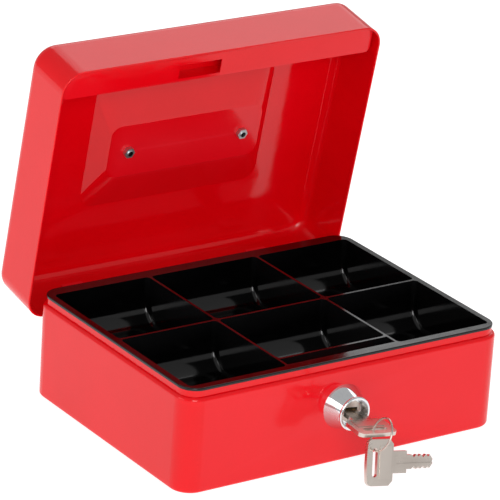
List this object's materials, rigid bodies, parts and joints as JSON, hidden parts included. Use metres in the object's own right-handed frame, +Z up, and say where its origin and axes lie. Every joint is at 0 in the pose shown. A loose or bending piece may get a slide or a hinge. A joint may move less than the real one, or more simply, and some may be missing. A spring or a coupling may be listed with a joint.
{
  "type": "cash box",
  "caption": "Rectangular painted sheet steel cash box with a hinged lid standing open, a lift-out coin tray, a cam lock with key, a spare key on a ring and a folding handle on the lid",
  "frame": {"origin": "on the table, under the middle of the base", "axes": "+Z up, the front with the lock faces -Y, +X to the right seen from the front"},
  "size_m": [0.202, 0.2342, 0.1911],
  "materials": {
    "red_paint": "gloss powder coat",
    "black_plastic": "gloss moulded",
    "chrome": "polished chrome plate",
    "nickel": "nickel plate",
    "zinc_steel": "zinc plate",
    "brass": "plain"
  },
  "bodies": {
    "base": {"base_shell": "red_paint", "lock_housing": "chrome", "lock_nut": "zinc_steel", "hinge_leaf_left": "red_paint", "hinge_leaf_right": "red_paint", "hinge_pin_left": "zinc_steel", "hinge_pin_right": "zinc_steel"},
    "lid": {"lid_shell": "red_paint", "latch_strip": "red_paint", "hinge_strap_left": "red_paint", "hinge_strap_right": "red_paint", "handle_bracket_left": "chrome", "handle_bracket_right": "chrome", "handle_nut_left": "zinc_steel", "handle_nut_right": "zinc_steel"},
    "tray": {"coin_tray": "black_plastic"},
    "lock_core": {"lock_plug": "nickel", "lock_cam": "zinc_steel", "cam_screw": "zinc_steel", "lock_wafer_1": "brass", "lock_wafer_2": "brass", "lock_wafer_3": "brass", "lock_wafer_4": "brass"},
    "key": {"key_in_lock": "nickel"},
    "ring": {"key_ring": "nickel"},
    "spare_key": {"spare_key": "nickel"},
    "handle": {"handle_bail": "chrome"}
  },
  "joints": [
    {"name": "lid_hinge", "type": "hinge", "parent": "base", "child": "lid", "pos_m": [0, 0.0685, 0.0423], "axis": [-1, 0, 0], "range_deg": [-79, 0]},
    {"name": "tray_lift", "type": "slide", "parent": "base", "child": "tray", "axis": [0, 0, 1], "range_m": [0, 0.088]},
    {"name": "lock_turn", "type": "hinge", "parent": "base", "child": "lock_core", "pos_m": [-0.0024, -0.07, 0.0314], "axis": [0, 1, 0], "range_deg": [0, 82]},
    {"name": "key_slide", "type": "slide", "parent": "lock_core", "child": "key", "axis": [-0.0102, -0.9973, -0.0725], "range_m": [0, 0.024]},
    {"name": "ring_swing", "type": "hinge", "parent": "key", "child": "ring", "pos_m": [-0.00358, -0.10245, 0.02951], "axis": [-0.9064, 0.1491, 0.3952], "range_deg": [0, 24]},
    {"name": "spare_key_swing", "type": "hinge", "parent": "ring", "child": "spare_key", "pos_m": [-0.00783, -0.11054, 0.02282], "axis": [0, 1, 0], "range_deg": [-69.7, 0]},
    {"name": "handle_fold", "type": "hinge", "parent": "lid", "child": "handle", "pos_m": [0, 0.09585, 0.12275], "axis": [1, 0, 0], "range_deg": [0, 90]}
  ],
  "couplings": [
    {"joint": "spare_key_swing", "follows": "lock_turn", "ratio": -0.85}
  ]
}
